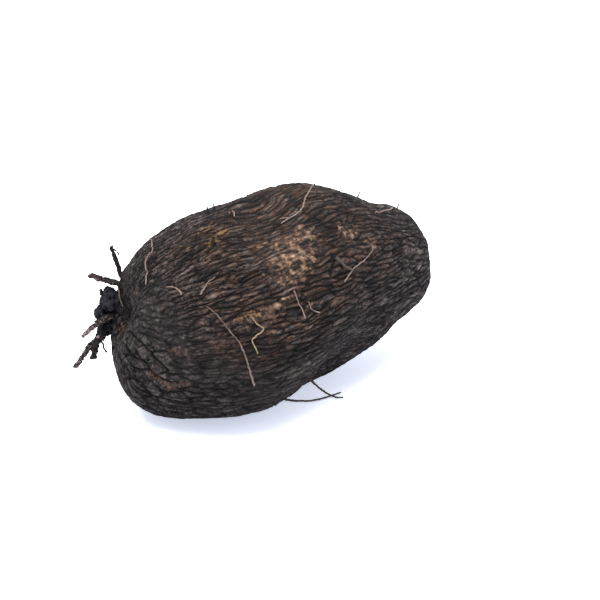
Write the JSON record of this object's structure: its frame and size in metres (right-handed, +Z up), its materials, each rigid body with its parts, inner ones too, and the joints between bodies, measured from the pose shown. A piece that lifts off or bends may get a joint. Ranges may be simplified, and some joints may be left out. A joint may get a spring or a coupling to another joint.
{
  "type": "purple yam",
  "caption": "Whole purple yam lying on its side, with wrinkled dark bark, a woody crown knot with broken root stubs, and thin pale rootlets on the skin",
  "frame": {"origin": "on the surface that the yam lies on, under the middle of its length and width", "axes": "+X along the yam from its crown knot to its tail, +Z up"},
  "size_m": [0.1878, 0.105, 0.1055],
  "materials": {
    "skin": "matte, rough, bark-like tuber skin"
  },
  "bodies": {
    "root": {"tuber": "skin"}
  },
  "joints": []
}
